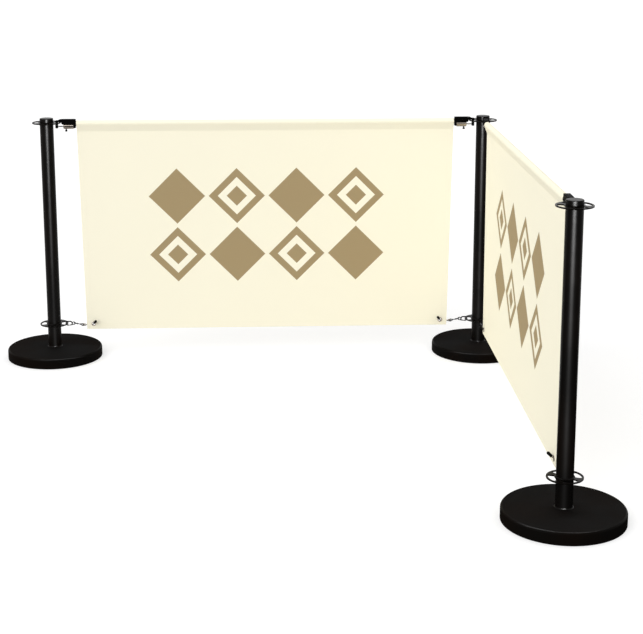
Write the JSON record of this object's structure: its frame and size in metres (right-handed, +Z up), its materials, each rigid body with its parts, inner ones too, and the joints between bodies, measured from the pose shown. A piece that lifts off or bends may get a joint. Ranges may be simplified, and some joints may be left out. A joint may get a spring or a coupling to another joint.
{
  "type": "cafe barrier",
  "caption": "Free-standing cafe barrier set out as an L: weighted round-base posts with slotted plates carry stretched cloth banners on latch hooks and corner cords.",
  "frame": {"origin": "on the floor, on the axis of the corner post, at the middle of its pad's underside", "axes": "+Z up; +X from the left post to the corner post; +Y from the right post to the corner post, so the picture's camera stands on the -Y side"},
  "size_m": [2.01, 2.01, 0.93],
  "materials": {
    "powder_coat": "satin black powder coat",
    "cast_iron": "as cast",
    "rubber": "matt",
    "zinc_steel": "zinc plated",
    "chrome": "polished",
    "black_steel": "gloss black",
    "banner_cloth": "cream coated cloth with a tan print",
    "cord": "braided grey"
  },
  "bodies": {
    "corner_post": {"corner_floor_pad": "rubber", "corner_base_weight": "cast_iron", "corner_base_cover": "powder_coat", "corner_post_tube": "powder_coat", "corner_lower_plate": "powder_coat", "corner_upper_plate": "powder_coat", "corner_top_cap": "powder_coat", "corner_tie_rod": "zinc_steel"},
    "left_post": {"left_floor_pad": "rubber", "left_base_weight": "cast_iron", "left_base_cover": "powder_coat", "left_post_tube": "powder_coat", "left_lower_plate": "powder_coat", "left_upper_plate": "powder_coat", "left_top_cap": "powder_coat", "left_tie_rod": "zinc_steel"},
    "right_post": {"right_floor_pad": "rubber", "right_base_weight": "cast_iron", "right_base_cover": "powder_coat", "right_post_tube": "powder_coat", "right_lower_plate": "powder_coat", "right_upper_plate": "powder_coat", "right_top_cap": "powder_coat", "right_tie_rod": "zinc_steel"},
    "front_panel": {"front_crossbar": "powder_coat", "front_banner": "banner_cloth", "front_inner_hook_head": "black_steel", "front_inner_latch_barrel": "chrome", "front_inner_snap_hook": "black_steel", "front_inner_tension_cord": "cord", "front_inner_corner_hook": "chrome", "front_inner_eyelet": "chrome", "front_outer_hook_head": "black_steel", "front_outer_latch_barrel": "chrome", "front_outer_snap_hook": "black_steel", "front_outer_tension_cord": "cord", "front_outer_corner_hook": "chrome", "front_outer_eyelet": "chrome"},
    "front_inner_bolt": {"front_inner_latch_bolt": "zinc_steel"},
    "front_inner_gate": {"front_inner_snap_gate": "black_steel"},
    "front_outer_bolt": {"front_outer_latch_bolt": "zinc_steel"},
    "front_outer_gate": {"front_outer_snap_gate": "black_steel"},
    "side_panel": {"side_crossbar": "powder_coat", "side_banner": "banner_cloth", "side_inner_hook_head": "black_steel", "side_inner_latch_barrel": "chrome", "side_inner_snap_hook": "black_steel", "side_inner_tension_cord": "cord", "side_inner_corner_hook": "chrome", "side_inner_eyelet": "chrome", "side_outer_hook_head": "black_steel", "side_outer_latch_barrel": "chrome", "side_outer_snap_hook": "black_steel", "side_outer_tension_cord": "cord", "side_outer_corner_hook": "chrome", "side_outer_eyelet": "chrome"},
    "side_inner_bolt": {"side_inner_latch_bolt": "zinc_steel"},
    "side_inner_gate": {"side_inner_snap_gate": "black_steel"},
    "side_outer_bolt": {"side_outer_latch_bolt": "zinc_steel"},
    "side_outer_gate": {"side_outer_snap_gate": "black_steel"}
  },
  "joints": [
    {"name": "front_panel_swing", "type": "hinge", "parent": "corner_post", "child": "front_panel", "pos_m": [0, 0, 0.45], "axis": [0, 0, 1], "range_deg": [-20, 20]},
    {"name": "side_panel_swing", "type": "hinge", "parent": "corner_post", "child": "side_panel", "pos_m": [0, 0, 0.45], "axis": [0, 0, 1], "range_deg": [-20, 20]},
    {"name": "left_post_spin", "type": "hinge", "parent": "front_panel", "child": "left_post", "pos_m": [-1.65, 0, 0.45], "axis": [0, 0, 1], "range_deg": [-20, 20]},
    {"name": "right_post_spin", "type": "hinge", "parent": "side_panel", "child": "right_post", "pos_m": [0, -1.65, 0.45], "axis": [0, 0, 1], "range_deg": [-32, 8]},
    {"name": "front_inner_latch_pull", "type": "slide", "parent": "front_panel", "child": "front_inner_bolt", "axis": [-1, 0, 0], "range_m": [0, 0.013], "stiffness_N_per_m": 300, "springref_m": -0.01},
    {"name": "front_outer_latch_pull", "type": "slide", "parent": "front_panel", "child": "front_outer_bolt", "axis": [1, 0, 0], "range_m": [0, 0.013], "stiffness_N_per_m": 300, "springref_m": -0.01},
    {"name": "side_inner_latch_pull", "type": "slide", "parent": "side_panel", "child": "side_inner_bolt", "axis": [0, -1, 0], "range_m": [0, 0.013], "stiffness_N_per_m": 300, "springref_m": -0.01},
    {"name": "side_outer_latch_pull", "type": "slide", "parent": "side_panel", "child": "side_outer_bolt", "axis": [0, 1, 0], "range_m": [0, 0.013], "stiffness_N_per_m": 300, "springref_m": -0.01},
    {"name": "front_inner_gate_open", "type": "hinge", "parent": "front_panel", "child": "front_inner_gate", "pos_m": [-0.0682, 0, 0.124], "axis": [0, -1, 0], "range_deg": [0, 30], "stiffness_Nm_per_rad": 0.01, "springref_deg": -28.65},
    {"name": "front_outer_gate_open", "type": "hinge", "parent": "front_panel", "child": "front_outer_gate", "pos_m": [-1.5818, 0, 0.124], "axis": [0, 1, 0], "range_deg": [0, 30], "stiffness_Nm_per_rad": 0.01, "springref_deg": -28.65},
    {"name": "side_inner_gate_open", "type": "hinge", "parent": "side_panel", "child": "side_inner_gate", "pos_m": [0, -0.0682, 0.124], "axis": [1, 0, 0], "range_deg": [0, 30], "stiffness_Nm_per_rad": 0.01, "springref_deg": -28.65},
    {"name": "side_outer_gate_open", "type": "hinge", "parent": "side_panel", "child": "side_outer_gate", "pos_m": [0, -1.5818, 0.124], "axis": [-1, 0, 0], "range_deg": [0, 30], "stiffness_Nm_per_rad": 0.01, "springref_deg": -28.65}
  ]
}
